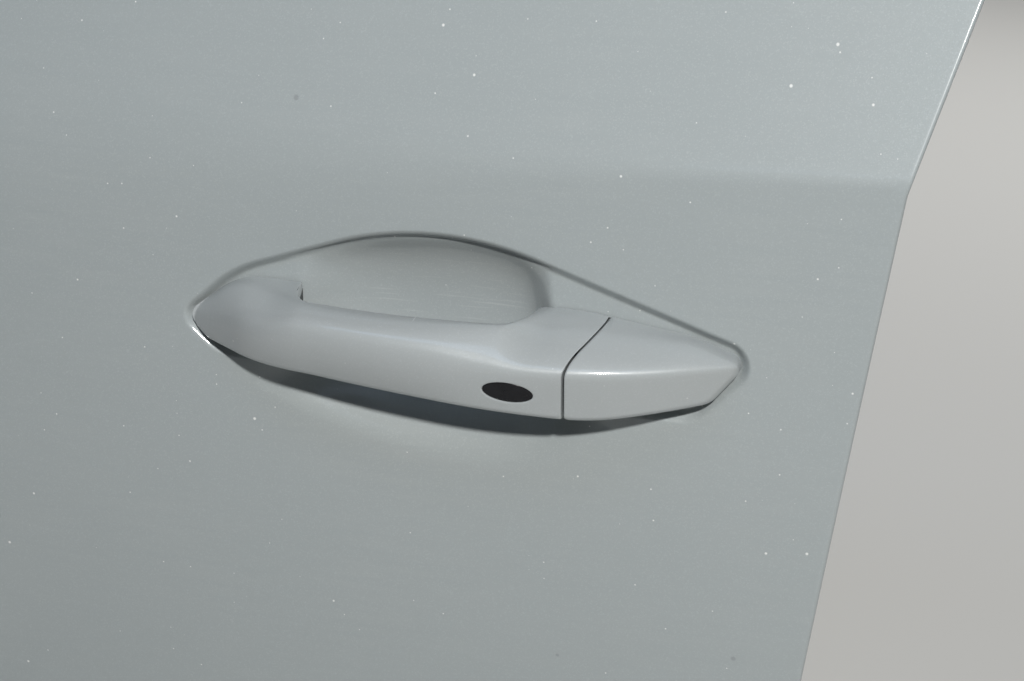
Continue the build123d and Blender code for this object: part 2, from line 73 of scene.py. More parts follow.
def roundedPath(rows, step=1.2, closed=True):
    # rows of x, z and corner radius, walked as straight runs and arcs and then spaced evenly
    points = []
    for i, (x, z, radius) in enumerate(rows):
        corner = np.array((x, z), float)
        if not closed and i in (0, len(rows) - 1):
            points.append(corner)
            continue
        before = np.array(rows[i - 1][:2], float) - corner
        after = np.array(rows[(i + 1) % len(rows)][:2], float) - corner
        before /= np.linalg.norm(before)
        after /= np.linalg.norm(after)
        half = math.acos(float(np.clip(before @ after, -1, 1))) / 2
        centre = corner + (before + after) / np.linalg.norm(before + after) * radius / math.sin(half)
        spoke = corner + before * radius / math.tan(half) - centre
        side = -np.sign(before[0] * after[1] - before[1] * after[0])
        sweep = (math.pi - 2 * half) * side
        for turn in np.linspace(0, sweep, max(4, math.ceil(abs(sweep) * radius / arcStep))):
            c, s = math.cos(turn), math.sin(turn)
            points.append(centre + (c * spoke[0] - s * spoke[1], s * spoke[0] + c * spoke[1]))
    return spaced(np.array(points), step, closed)


def spaced(points, step, closed=True):
    loop = np.vstack([points, points[:1]]) if closed else points
    runs = np.linalg.norm(np.diff(loop, axis=0), axis=1)
    loop = loop[np.append(True, runs > tiny)]
    along = np.append(0, np.cumsum(np.linalg.norm(np.diff(loop, axis=0), axis=1)))
    count = max(3, round(along[-1] / step))
    at = np.linspace(0, along[-1], count + 1)
    if closed:
        at = at[:-1]
    return np.column_stack([np.interp(at, along, loop[:, k]) for k in (0, 1)])


def distanceTo(points, path, closed=True):
    starts = path if closed else path[:-1]
    runs = (np.roll(path, -1, axis=0) if closed else path[1:]) - starts
    best = np.empty(len(points))
    for part in np.array_split(np.arange(len(points)), 1 + len(points) * len(starts) // mostAtOnce):
        gap = points[part, None] - starts[None]
        share = np.clip((gap * runs).sum(2) / (runs * runs).sum(1), 0, 1)
        best[part] = np.linalg.norm(gap - share[..., None] * runs, axis=2).min(1)
    return best


def inside(points, path):
    x, z = points[:, 0], points[:, 1]
    within = np.zeros(len(points), bool)
    for (x0, z0), (x1, z1) in zip(path, np.roll(path, -1, axis=0)):
        if z0 != z1:
            crosses = (z0 > z) != (z1 > z)
            within ^= crosses & (x < (x1 - x0) * (z - z0) / (z1 - z0) + x0)
    return within


def turnsLeft(path):
    # whether a closed path runs anticlockwise
    x, z = path[:, 0], path[:, 1]
    return (x * np.roll(z, -1) - z * np.roll(x, -1)).sum() > 0


def inwards(path):
    # unit normals that point into a closed path
    ahead = np.roll(path, -1, axis=0) - np.roll(path, 1, axis=0)
    ahead /= np.linalg.norm(ahead, axis=1)[:, None]
    normal = np.column_stack([-ahead[:, 1], ahead[:, 0]])
    return normal if turnsLeft(path) else -normal


def rowsBeside(path, depths, nearly=0.97):
    # copies of a closed path pushed inwards, without the points that cross over at a corner
    normal = inwards(path)
    kept = []
    for depth in depths:
        row = path + normal * depth
        kept.append(row[distanceTo(row, path) > abs(depth) * nearly - 1e-6])
    return np.vstack(kept)


def hexPoints(low, high, step):
    zs = np.arange(low[1], high[1], step * triangleRow)
    xs = np.arange(low[0], high[0], step)
    return np.array([(x + (i % 2) * step / 2, z) for i, z in enumerate(zs) for x in xs])


def roundDepths(radius, count):
    # distances from an edge whose quarter round is cut in equal turns
    return [radius * (1 - math.cos(math.pi / 2 * i / count)) for i in range(1, count + 1)]


def quarterRound(distance, across, deep):
    # how far an edge round of those two radii has dropped at a distance from the edge
    share = 1 - np.clip(distance / across, 0, 1)
    return deep * (1 - np.sqrt(np.clip(1 - share * share, 0, 1)))


def smoothStep(value, low, high):
    share = np.clip((value - low) / (high - low), 0, 1)
    return share * share * (3 - 2 * share)


def softMax(a, b, width):
    share = np.clip(width - np.abs(a - b), 0, None) / width
    return np.maximum(a, b) + share * share * width / 4


tableAt = np.arange(-130, 131.0)     # x or z of the values that smoothTable gives


def smoothTable(rows, spread=5.0, reach=20):
    # values at tableAt from a few rows, with the corners between the rows rounded
    values = np.interp(tableAt, *zip(*sorted(rows)))
    weight = np.exp(-0.5 * (np.arange(-reach, reach + 1) / spread) ** 2)
    return np.convolve(np.pad(values, reach, mode="edge"), weight / weight.sum(), mode="valid")


def plate(loops, points):
    # Delaunay triangles inside the first loop and outside the others: coordinates, triangles and loops
    coords = np.vstack(list(loops) + [points])
    edges, starts, at = [], [], 0
    for loop in loops:
        starts.append(at)
        edges += [(at + i, at + (i + 1) % len(loop)) for i in range(len(loop))]
        at += len(loop)
    flat = [Vector((float(x), float(z))) for x, z in coords]
    made = delaunay_2d_cdt(flat, edges, [], 0, tiny)
    verts, faces, origins = made[0], made[2], made[3]
    place = np.array([(v.x, v.y) for v in verts])
    corners = np.array([f for f in faces if len(f) == 3])
    middle = place[corners].mean(axis=1)
    keep = inside(middle, loops[0])
    for loop in loops[1:]:
        keep &= ~inside(middle, loop)
    corners = corners[keep]
    across = place[corners]
    area = np.cross(across[:, 1] - across[:, 0], across[:, 2] - across[:, 0])
    corners[area < 0] = corners[area < 0][:, ::-1]
    where = {old: new for new, group in enumerate(origins) for old in group}
    rings = [[where[s + i] for i in range(len(loop))] for s, loop in zip(starts, loops)]
    return place, corners, rings


def slab(name, loops, points, front, back):
    # closed body between two height fields over the same triangles, y = front(p) and y = back(p)
    place, corners, rings = plate(loops, points)
    count = len(place)
    sides = [np.column_stack([place[:, 0], face(place), place[:, 1]]) for face in (front, back)]
    faces = [tuple(f) for f in corners] + [tuple(f[::-1] + count) for f in corners]
    for ring, loop in zip(rings, loops):
        outwards = turnsLeft(loop) == (ring is rings[0])
        for a, b in zip(ring, ring[1:] + ring[:1]):
            quad = (a, a + count, b + count, b)
            faces.append(quad if outwards else quad[::-1])
    return meshObject(name, np.vstack(sides) * mm, faces)


def meshObject(name, verts, faces):
    data = bpy.data.meshes.new(name)
    data.from_pydata([tuple(v) for v in verts], [], [tuple(int(i) for i in f) for f in faces])
    data.update()
    data.polygons.foreach_set("use_smooth", [True] * len(data.polygons))
    data.set_sharp_from_angle(angle=math.radians(sharpFrom))
    piece = bpy.data.objects.new(name, data)
    bpy.context.scene.collection.objects.link(piece)
    return piece


skin = {
    "wall": 1.0, "planRadius": 5000, "sideRadius": 1400, "sideHeight": 10,
    "creaseHeight": 75, "creaseRise": 1.75, "shoulderLean": 0.42,
    "creaseSoft": [(-250, 34), (-120, 22), (0, 9), (90, 4), (200, 2.2)],     # x and half width of the bend
    "front": -250, "low": -218, "high": 175, "shutEdge": 167, "leanLow": 0.15, "leanHigh": 0.3,
    "trimCorner": 12, "shutCorner": 3, "creaseCorner": 6,
    "hemWidth": 11, "hemDepth": 2.8, "hemRound": 1.6, "hemDrop": 1.4, "trimDrop": 0.5, "shutNear": 6,
    "ledge": 3.8, "rimFrom": -2.2, "rimTo": 3.2, "bowlSoft": 5.0, "bowlEnd": 0.8, "bowlShut": 10,
    "pocket": [(-128.5, -3.4, 7), (-103, 19.7, 60), (-12.6, 50.9, 135), (126.7, 2.9, 9.9), (97, -27, 12),
               (-112, -18, 14)],
    "bowlDepth": 17, "bowlMiddle": -18, "frontFall": 3, "rearFall": 7, "topFall": 4, "lowFall": 2.2,
    # rim of the finger bowl: z over x at its top and bottom, and for its two ends x over z
    "bowlFront": [(-60, -98), (-36, -95), (-10, -82), (12, -73.5), (22, -75), (31, -82), (50, -92)],
    "bowlRear": [(-60, 68), (-37, 64), (-10, 46), (12, 37), (36, 35.5), (50, 35.5)], "bowlOutside": 4,
    "bowlTop": [(-95, 25), (-79, 30), (-69, 33.8), (-54, 39), (-40, 42), (-25, 44.3), (-10, 45.3), (4, 45),
                (15, 43.3), (24, 41), (41, 36), (60, 30)],
    "bowlLow": [(-95, -30), (-80, -37), (-69, -43), (-49, -48.5), (-28, -53), (-6, -56.3), (13.5, -56.3),
                (28, -53), (38, -48), (51, -40), (66, -30)],
    "hookHole": (-114, -93, -6.5, 6.5), "clawHole": (37, 55.5, -12, 12), "slotCorner": 3,
    "lockHole": (84, -3, 10.3), "screwHoles": [(66, -2, 2.7), (104, -2, 2.7)],
}
# spacing of the sheet's points, the field with the finer ones, and rows at distances from a line
skinNet = {
    "coarse": 4.2, "coarseField": ((-252, -220), (240, 190)),
    "fine": 1.5, "fineField": ((-96, -64), (64, 52)),
    "sectionStep": 3.0, "edgeTurns": 6, "edgeRows": [2.4, 3.8], "hemRow": 0.4,
    "rimRows": np.arange(-3.4, 4.6, 0.5), "rimClear": 4.4, "rimFree": 5.5, "holeClear": 0.6,
    "creaseRows": (0, 1.3, 2.6, 4.4, 7, 11, 17, 26), "creaseRun": np.arange(-254, 215, 4.0), "creaseFree": 28,
}
pocketPath = roundedPath(skin["pocket"], 1.3)
bowlSides = {side: smoothTable(skin[side]) for side in ("bowlFront", "bowlRear", "bowlTop", "bowlLow")}


def outerFace(p):
    # barrel of the door with its crease, as y over x and z
    c, s = cosSin(skin["creaseRise"])
    x = c * p[:, 0] + s * p[:, 1]
    z = c * p[:, 1] - s * p[:, 0]
    radius, height = skin["sideRadius"], skin["creaseHeight"]
    low = np.minimum(z, height) - skin["sideHeight"]
    bulge = radius - np.sqrt(radius ** 2 - low ** 2)
    slope = (height - skin["sideHeight"]) / radius
    lean = skin["shoulderLean"] - slope
    half = np.interp(x, *zip(*skin["creaseSoft"]))
    u = z - height
    bend = lean * np.where(u < -half, 0, np.where(u > half, u, (u + half) ** 2 / (4 * half)))
    profile = bulge + np.maximum(u, 0) * slope + bend
    big = skin["planRadius"]
    return big - np.sqrt((big - profile) ** 2 - x ** 2)


def bowlFace(p):
    # dish whose floor is flat in the middle and falls from its four sides
    x, z = p[:, 0], p[:, 1]
    front, rear = (np.interp(z, tableAt, bowlSides[side]) for side in ("bowlFront", "bowlRear"))
    top, low = (np.interp(x, tableAt, bowlSides[side]) for side in ("bowlTop", "bowlLow"))
    middle = skin["bowlMiddle"]
    u = np.where(x < middle, (x - middle) / (front - middle), (x - middle) / (rear - middle))
    v = (2 * z - top - low) / (top - low)
    along = 1 - np.abs(u) ** np.where(x < middle, skin["frontFall"], skin["rearFall"])
    up = 1 - np.abs(v) ** np.where(v > 0, skin["topFall"], skin["lowFall"])
    past = np.minimum(np.minimum(along, up), 0)
    outside = past / (1 - skin["bowlOutside"] * past)
    return skin["bowlDepth"] * np.where((along > 0) & (up > 0), along * up, outside)


def skinFace(p):
    into = distanceTo(p, pocketPath) * np.where(inside(p, pocketPath), 1, -1)
    shelf = outerFace(p) + skin["ledge"] * smoothStep(into, skin["rimFrom"], skin["rimTo"])
    # above the handle's middle the bowl ends at the pocket's rim
    within = np.where(p[:, 1] > 0, smoothStep(into, -skin["bowlEnd"], skin["bowlEnd"]), 1)
    return softMax(shelf, bowlFace(p) * within - skin["bowlShut"] * (1 - within), skin["bowlSoft"])


def sectionRows():
    # corners of the trimmed section, of which the second to fourth lie on the shut edge
    front, low, high, crease = skin["front"], skin["low"], skin["high"], skin["creaseHeight"]
    lowRear = skin["shutEdge"] + skin["leanLow"] * low
    creaseRear = skin["shutEdge"] + skin["leanLow"] * crease
    highRear = creaseRear + skin["leanHigh"] * (high - crease)
    return [(front, low, skin["trimCorner"]), (lowRear, low, skin["shutCorner"]),
            (creaseRear, crease, skin["creaseCorner"]), (highRear, high, skin["shutCorner"]),
            (front, high, skin["trimCorner"])]


def slotPath(xLow, xHigh, zLow, zHigh):
    corners = ((xLow, zLow), (xHigh, zLow), (xHigh, zHigh), (xLow, zHigh))
    return roundedPath([(x, z, skin["slotCorner"]) for x, z in corners], 1.5)


def discPath(x, z, radius, count=40):
    turns = np.linspace(0, 2 * math.pi, count, endpoint=False)
    return np.column_stack([x + radius * np.cos(turns), z + radius * np.sin(turns)])


def shutDistance(p):
    edge = spaced(np.array([row[:2] for row in sectionRows()[1:4]], float), 4, closed=False)
    return distanceTo(p, edge, closed=False)


def creasePoints():
    # rows along the crease, closer together at its bend
    c, s = cosSin(skin["creaseRise"])
    along = skinNet["creaseRun"]
    rows = []
    for off in sorted({side * off for off in skinNet["creaseRows"] for side in (-1, 1)}):
        z = skin["creaseHeight"] + off
        rows.append(np.column_stack([along * c - z * s, along * s + z * c]))
    return np.vstack(rows)


def skinPoints(section, holes):
    hemRows = [skin["hemWidth"] - skinNet["hemRow"], skin["hemWidth"] + skinNet["hemRow"]]
    edge = rowsBeside(section, roundDepths(skin["hemRound"], skinNet["edgeTurns"]) + skinNet["edgeRows"])
    hem = rowsBeside(section, hemRows)
    hem = hem[shutDistance(hem) < skin["hemWidth"] + 1]
    rim = rowsBeside(pocketPath, skinNet["rimRows"])
    low, high = skinNet["fineField"]
    fine = hexPoints(low, high, skinNet["fine"])
    fine = fine[distanceTo(fine, pocketPath) > skinNet["rimClear"]]
    coarse = hexPoints(*skinNet["coarseField"], skinNet["coarse"])
    box = ((coarse > np.array(low) - 1) & (coarse < np.array(high) + 1)).all(axis=1)
    c, s = cosSin(skin["creaseRise"])
    band = np.abs(coarse[:, 1] * c - coarse[:, 0] * s - skin["creaseHeight"]) < skinNet["creaseFree"]
    coarse = coarse[~box & ~band & (distanceTo(coarse, pocketPath) > skinNet["rimFree"])]
    field = np.vstack([rim, creasePoints(), fine, coarse])
    points = np.vstack([edge, hem, field[distanceTo(field, section) > skinNet["coarse"]]])
    keep = inside(points, section)
    for hole in holes:
        keep &= ~inside(points, hole) & (distanceTo(points, hole) > skinNet["holeClear"])
    return points[keep]


def doorSkin():
    section = roundedPath(sectionRows(), skinNet["sectionStep"])
    holes = [slotPath(*skin["hookHole"]), slotPath(*skin["clawHole"]), discPath(*skin["lockHole"])]
    holes += [discPath(*hole, count=20) for hole in skin["screwHoles"]]

    def front(p):
        drop = np.where(shutDistance(p) < skin["shutNear"], skin["hemDrop"], skin["trimDrop"])
        return skinFace(p) + quarterRound(distanceTo(p, section), skin["hemRound"], drop)

    def back(p):
        hemmed = 1 - smoothStep(shutDistance(p), skin["hemWidth"] - skinNet["hemRow"],
                                skin["hemWidth"] + skinNet["hemRow"])
        return skinFace(p) + skin["wall"] + (skin["hemDepth"] - skin["wall"]) * hemmed

    piece = slab("doorSkinSheet", [section] + holes, skinPoints(section, holes), front, back)
    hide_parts("door_skin")
    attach(piece, "root")
    return piece


# what grip and cap share: their outline, crown and edges, and the split between them
handle = {
    "outline": [(-126, -2.5, 6), (-101, 16.8, 30), (50, 16.2, 120), (97, 9.4, 60), (119.5, 1, 5),
                (105.5, -15.8, 8), (60, -21.8, 120), (-60, -12.4, 200), (-115, -11.5, 10)],
    "tips": ((-123, 123), (-4, 1)),     # x and z of the two tips, between the upper and the lower run
    "crownHeight": 40, "crownMiddle": -10, "crownRadius": 300,
    "frontTurn": -62, "frontRadius": 75, "frontAngle": 38,
    "rearTurn": 50, "rearRadius": 165, "rearAngle": 45,
    # x, height of the ridge, how soft it is, slope above it, share of plain slope below it
    "ridge": [(-124, -3, 3, .7, 0), (-107, 2.5, 5, .6, 0), (-87, 7, 6, .5, 0), (-70, 10.4, 5, .4, 0),
              (-56, 11.8, 4, .35, 0), (-32, 11.2, 4, .35, 0), (-8, 9.2, 4.5, .5, .2), (15, 5, 4, .8, .7),
              (31, 2.9, 2.5, 1, 1), (50, 2.2, 1.6, 1, 1), (75, 1.8, 1.2, 1, 1), (100, 1.9, .9, .9, 1),
              (124, 1.2, .8, .8, 1)],
    "ridgeSpread": 6.0, "leastHeight": 0.5, "leastBend": 1.0,
    "lowSlope": 0.3, "lowCurve": 0.0125, "lowEdge": 2.6, "topEdge": 0.4, "lowEdgeFrom": -4, "lowEdgeTo": 2,
    "bar": 17, "backEdge": 2.2, "footSeat": 2.3, "slimFrom": 6, "slimLeast": 0.1,
    "ledgeFront": (-82, -62), "ledgeRear": (22, 40), "ledgeDepth": 2.8,     # where the crown meets the skin
    "split": [(49.1, -24, 1), (51.2, 5, 14), (66, 18.5, 1)], "splitGap": 1.0, "splitEdge": 0.75,
    "step": 1.3, "splitTurns": 3, "edgeTurns": 8, "firstRow": 0.02, "leastWall": 0.3,
}
outlinePath = roundedPath(handle["outline"], 0.8)
ridgeTable = [smoothTable([(row[0], row[column]) for row in handle["ridge"]], handle["ridgeSpread"])
              for column in range(1, 5)]


def planFace(x):
    # the ridge in plan view: three arcs, and a straight tail beyond each end
    radius, middle = handle["crownRadius"], handle["crownMiddle"]
    centre = radius - handle["crownHeight"]

    def arc(cx, cy, r):
        return cy - np.sqrt(np.clip(r * r - (x - cx) ** 2, 1, None))

    def end(name, side):
        # the x where the arc of one end turns into its tail, then the heights of arc and tail
        r = handle[name + "Radius"]
        lean = math.asin((handle[name + "Turn"] - middle) / radius)
        cx, cy = middle + (radius - r) * math.sin(lean), centre - (radius - r) * math.cos(lean)
        angle = math.radians(handle[name + "Angle"])
        stop = cx + side * r * math.sin(angle)
        return stop, arc(cx, cy, r), cy - r * math.cos(angle) + side * (x - stop) * math.tan(angle)

    frontStop, frontArc, frontTail = end("front", -1)
    rearStop, rearArc, rearTail = end("rear", 1)
    return np.select([x < frontStop, x < handle["frontTurn"], x < handle["rearTurn"], x < rearStop],
                     [frontTail, frontArc, arc(middle, centre, radius), rearArc], rearTail)


def topOf(x):
    upper = outlinePath[outlinePath[:, 1] > np.interp(outlinePath[:, 0], *handle["tips"])]
    upper = upper[np.argsort(upper[:, 0])]
    return np.interp(x, upper[:, 0], upper[:, 1])


def crownFace(p):
    # y of the handle's outer surface, without the round along its lower edge
    x, z = p[:, 0], p[:, 1]
    ridgeZ, soft, slope, plain = (np.interp(x, tableAt, table) for table in ridgeTable)
    ridgeY = planFace(x)
    v = z - ridgeZ
    root = np.sqrt(v * v + soft * soft)
    above, below = (root + v) / 2, (root - v) / 2
    height = np.maximum(topOf(x) - ridgeZ, handle["leastHeight"])
    full = (height + np.sqrt(height ** 2 + soft ** 2)) / 2
    onLedge = np.maximum(1 - smoothStep(x, *handle["ledgeFront"]), smoothStep(x, *handle["ledgeRear"]))
    free = handle["bar"] - handle["backEdge"]
    drop = free * (1 - onLedge) + (handle["ledgeDepth"] - ridgeY) * onLedge
    bend = np.maximum(drop - slope * full, handle["leastBend"])
    down = slope * above + bend * (1 - np.sqrt(np.clip(1 - (above / full) ** 2, 0, 1)))
    under = plain * handle["lowSlope"] * below + (1 - plain) * handle["lowCurve"] * below ** 2
    return ridgeY + down + under


def splitPath(shift):
    return roundedPath([(x + shift, z, r) for x, z, r in handle["split"]], 0.8, closed=False)


def clipped(path, cut, keepFront, endGap=0.4):
    # the part of a closed path on one side of the split, closed along the split
    limit = np.interp(path[:, 1], cut[:, 1], cut[:, 0])
    keep = path[:, 0] < limit if keepFront else path[:, 0] > limit
    first = next(i for i in range(len(path)) if keep[i] and not keep[i - 1])
    run = np.roll(path, -first, axis=0)[:int(keep.sum())]
    start, end = run[0], run[-1]
    low, high = min(start[1], end[1]), max(start[1], end[1])
    bridge = cut[(cut[:, 1] > low + endGap) & (cut[:, 1] < high - endGap)]
    bridge = bridge[np.argsort(bridge[:, 1])]
    return np.vstack([run, bridge if end[1] < start[1] else bridge[::-1]])


def edgeDrop(p, cut):
    # how far the outer surface falls along the handle's rim and along the split
    rim = distanceTo(p, outlinePath)
    low = smoothStep(-p[:, 1], handle["lowEdgeFrom"], handle["lowEdgeTo"])
    radius = handle["topEdge"] + (handle["lowEdge"] - handle["topEdge"]) * low
    slim = np.clip((handle["footSeat"] - crownFace(p)) / handle["slimFrom"], handle["slimLeast"], 1)
    seam = distanceTo(p, cut, closed=False)
    return (quarterRound(rim, radius * slim, radius * slim)
            + quarterRound(seam, handle["splitEdge"], handle["splitEdge"]))


def edgePoints(edge, rows):
    # rows inside an edge of the handle: the split's round, the rim's round past it, and the given ones
    splitRows = roundDepths(handle["splitEdge"], handle["splitTurns"])
    rimRows = roundDepths(handle["lowEdge"], handle["edgeTurns"])[handle["splitTurns"]:]
    points = rowsBeside(edge, splitRows + rimRows + [handle["firstRow"]] + rows)
    return points[inside(points, edge)]


# the oval window: its middle in x and z, half its width and height, and its turn in degrees
lens = {
    "middle": (28.2, -8.2), "half": (10.2, 4.5), "turn": 6, "gap": 0.15, "sink": 0.35, "well": 1.6,
    "round": 0.35, "roundDrop": 0.25, "roundTurns": 4, "rows": [0.8, 1.6], "field": ((16, -15), (40, -1)),
    "step": 1.2, "edgeFree": 2.0, "backGap": 0.05,
}


def lensDistance(p):
    # distance inside the lens oval, along its short axis
    (wide, high), gap = lens["half"], lens["gap"]
    c, s = cosSin(lens["turn"])
    dx, dz = p[:, 0] - lens["middle"][0], p[:, 1] - lens["middle"][1]
    u, w = (c * dx - s * dz) / (wide + gap), (s * dx + c * dz) / (high + gap)
    return (1 - np.sqrt(u * u + w * w)) * high


def lensPath(grow, count=72):
    (x0, z0), (wide, high) = lens["middle"], lens["half"]
    c, s = cosSin(lens["turn"])
    turns = np.linspace(0, 2 * math.pi, count, endpoint=False)
    u, w = (wide + grow) * np.cos(turns), (high + grow) * np.sin(turns)
    return np.column_stack([x0 + c * u + s * w, z0 - s * u + c * w])


# the grip swings about pivotX, and its tip ahead of that swings inwards, so the tip stays off the skin
grip = {
    "gap": [(-76, 17, .01), (-66, -20.5, 14), (-14, -23.5, 400), (27, -20, 14), (36, 17, .01)],
    "pivotX": -108, "reliefSlope": math.tan(math.radians(9.5)), "reliefStep": 0.2,
    "tipClear": 3.85, "tipSlope": 0.22, "wall": 3.0, "wallStep": 1.5,
    # the back's edge grows from edgeLeast at the feet to its full round where the grip stands free
    "edgeLeast": 0.3, "freeFrom": 2, "freeOver": 8, "slopeOver": 0.3, "steepest": 4,
    "wellRound": 0.4, "wellDrop": 0.3, "wellNear": 0.6, "wellFrom": 0.02,
    # points: an even net with finer runs, rows round the rim, and rows and a net round and in the well
    "field": ((-125, -24), (68, 19)), "fine": 0.75, "fineRuns": ((-80, -56), (20, 40)), "fineGap": 0.5,
    "rows": [2.93, 3.07, 3.7, 4.6], "edgeFree": 5.2, "wellRows": [-0.9, -0.5, -0.25, -0.1, 0, 0.06, 0.5],
    "wellClear": 0.45, "wellFree": 0.5, "wellStep": 1.6,
}
gapLine = roundedPath(grip["gap"], 0.4, closed=False)


def gripBack(p, cut):
    # y of the grip's back, seated at both feet and free between them, and the distance from its rim
    x = p[:, 0]
    seat = outerFace(p) + handle["footSeat"]
    gap = np.interp(x, gapLine[:, 0], gapLine[:, 1])
    ahead = np.maximum(grip["pivotX"] - x, 0)
    relief = handle["footSeat"] - grip["reliefStep"] - grip["reliefSlope"] * ahead
    back = np.minimum(np.minimum(seat, gap), np.where(ahead > 0, relief, unlimited))
    beyond = np.interp(x + grip["slopeOver"], gapLine[:, 0], gapLine[:, 1])
    steep = np.minimum(np.where(gap < seat, np.abs(beyond - gap) / grip["slopeOver"], 0), grip["steepest"])
    rim = np.minimum(distanceTo(p, outlinePath), distanceTo(p, cut, closed=False))
    free = smoothStep(grip["freeFrom"] - back, 0, grip["freeOver"])
    across = grip["edgeLeast"] + (handle["backEdge"] - grip["edgeLeast"]) * free
    return back - quarterRound(rim, across, across * np.sqrt(1 + steep ** 2)), rim


def gripPoints(edge):
    # an even net, finer where the back turns up into the feet, with rows round the rim and round the lens
    (xLow, zLow), (xHigh, zHigh) = grip["field"]
    net = hexPoints((xLow, zLow), (xHigh, zHigh), handle["step"])
    fine = []
    for low, high in grip["fineRuns"]:
        net = net[(net[:, 0] < low - grip["fineGap"]) | (net[:, 0] > high + grip["fineGap"])]
        fine.append(hexPoints((low, zLow), (high, zHigh), grip["fine"]))
    inner = np.vstack([net] + fine)
    inner = inner[inside(inner, edge) & (distanceTo(inner, edge) > grip["edgeFree"])]
    rows = edgePoints(edge, grip["rows"])
    inLens = hexPoints(*lens["field"], grip["wellStep"])
    outer = [points[lensDistance(points) < -grip["wellClear"]] for points in (rows, inner)]
    return np.vstack(outer + [rowsBeside(lensPath(lens["gap"]), grip["wellRows"]),
                              inLens[lensDistance(inLens) > grip["wellFree"]]])


def gripShell():
    cut = splitPath(-handle["splitGap"] / 2)
    edge = clipped(outlinePath, cut, True)

    def front(p):
        well = lensDistance(p)
        lip = quarterRound(np.maximum(-well, 0), grip["wellRound"], grip["wellDrop"])
        sink = lens["well"] * (well > grip["wellFrom"]) + lip * (well > -grip["wellNear"])
        ahead = grip["pivotX"] - p[:, 0]
        clear = np.where(ahead > 0, grip["tipClear"] - grip["tipSlope"] * ahead, unlimited)
        return np.minimum(crownFace(p) + edgeDrop(p, cut) + sink, clear)

    def back(p):
        face, rim = gripBack(p, cut)
        return np.maximum(face - grip["wallStep"] * (rim > grip["wall"]), front(p) + handle["leastWall"])

    piece = slab("gripShellCover", [edge], gripPoints(edge), front, back)
    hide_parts("grip_shell")
    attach(piece, "grip")
    return piece


cap = {
    "seat": 2.6, "wall": 2.5, "wallSoft": 0.1, "deck": 3, "field": ((48, -24), (125, 19)), "edgeFree": 5.0,
    "rows": [2.2, 2.45, 2.6, 3.4, 4.4],
}


def capShell():
    cut = splitPath(handle["splitGap"] / 2)
    edge = clipped(outlinePath, cut, False)
    inner = hexPoints(*cap["field"], handle["step"])
    inner = inner[inside(inner, edge) & (distanceTo(inner, edge) > cap["edgeFree"])]

    def front(p):
        return crownFace(p) + edgeDrop(p, cut)

    def back(p):
        # the wall reaches down to its seat, and behind the deck the cap is hollow
        seat = outerFace(p) + cap["seat"]
        soft = cap["wallSoft"]
        hollow = smoothStep(distanceTo(p, edge), cap["wall"] - soft, cap["wall"] + soft)
        deck = np.minimum(crownFace(p) + cap["deck"], seat)
        return np.maximum(seat * (1 - hollow) + deck * hollow, front(p) + handle["leastWall"])

    piece = slab("capShellCover", [edge], np.vstack([edgePoints(edge, cap["rows"]), inner]), front, back)
    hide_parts("cap_shell")
    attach(piece, "root")
    return piece


def sensorLens():
    edge = lensPath(0)
    rows = rowsBeside(edge, roundDepths(lens["round"], lens["roundTurns"]) + lens["rows"])
    inner = hexPoints(*lens["field"], lens["step"])
    inner = inner[inside(inner, edge) & (distanceTo(inner, edge) > lens["edgeFree"])]

    def front(p):
        drop = quarterRound(distanceTo(p, edge), lens["round"], lens["roundDrop"])
        return crownFace(p) + lens["sink"] + drop

    def back(p):
        return crownFace(p) + lens["well"] - lens["backGap"]

    piece = slab("sensorLensFace", [edge], np.vstack([rows, inner]), front, back)
    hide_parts("sensor_lens")
    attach(piece, "grip")
    return piece


skinPiece = doorSkin()
print("door skin:", len(skinPiece.data.vertices), "points")
gripPiece = gripShell()
capPiece = capShell()
lensPiece = sensorLens()
print("handle:", [len(piece.data.vertices) for piece in (gripPiece, capPiece, lensPiece)], "points")


def newGroup(name, given, wanted, kind="ShaderNodeTree"):
    # a node group whose inputs and outputs are given as label: type
    group = bpy.data.node_groups.new(name, kind)
    for way, sockets in (("INPUT", given), ("OUTPUT", wanted)):
        for label, sort in sockets.items():
            group.interface.new_socket(name=label, in_out=way, socket_type="NodeSocket" + sort)
    return group, group.nodes.new("NodeGroupInput").outputs, group.nodes.new("NodeGroupOutput").inputs


def feed(tree, target, value):
    # a link from another node, or a constant on the socket itself
    if isinstance(value, bpy.types.NodeSocket):
        tree.links.new(value, target)
    else:
        target.default_value = value


def node(tree, kind, feeds=(), **settings):
    # geometry trees take these two kinds from the shader nodes
    family = "ShaderNode" if kind in ("Math", "CombineXYZ") else tree.bl_idname.replace("NodeTree", "Node")
    made = tree.nodes.new(family + kind)
    for key, value in settings.items():
        setattr(made, key, value)
    for key, value in dict(feeds).items():
        feed(tree, made.inputs[key], value)
    return made


def use(tree, group, **feeds):
    return node(tree, "Group", feeds, node_tree=group).outputs


def calc(tree, operation, a, b):
    return node(tree, "Math", {0: a, 1: b}, operation=operation).outputs[0]


def times(tree, a, b):
    return calc(tree, "MULTIPLY", a, b)


def vectorCalc(tree, operation, feeds):
    return node(tree, "VectorMath", feeds, operation=operation).outputs[0]


def remap(tree, value, low, high, toLow=0.0, toHigh=1.0):
    return node(tree, "MapRange", {"Value": value, "From Min": low, "From Max": high, "To Min": toLow,
                                   "To Max": toHigh}).outputs["Result"]


def mixColor(tree, share, a, b):
    return node(tree, "Mix", {0: share, 6: a, 7: b}, data_type="RGBA").outputs[2]


def parts(tree, kind, source):
    return node(tree, "Separate" + kind, {0: source}).outputs


def noise(tree, where, scale, detail):
    return node(tree, "TexNoise", {"Vector": where, "Scale": scale, "Detail": detail}).outputs["Fac"]


def stretched(tree, where, scale, turn=(0, 0, 0)):
    return node(tree, "Mapping", {"Vector": where, "Scale": scale, "Rotation": turn}).outputs["Vector"]


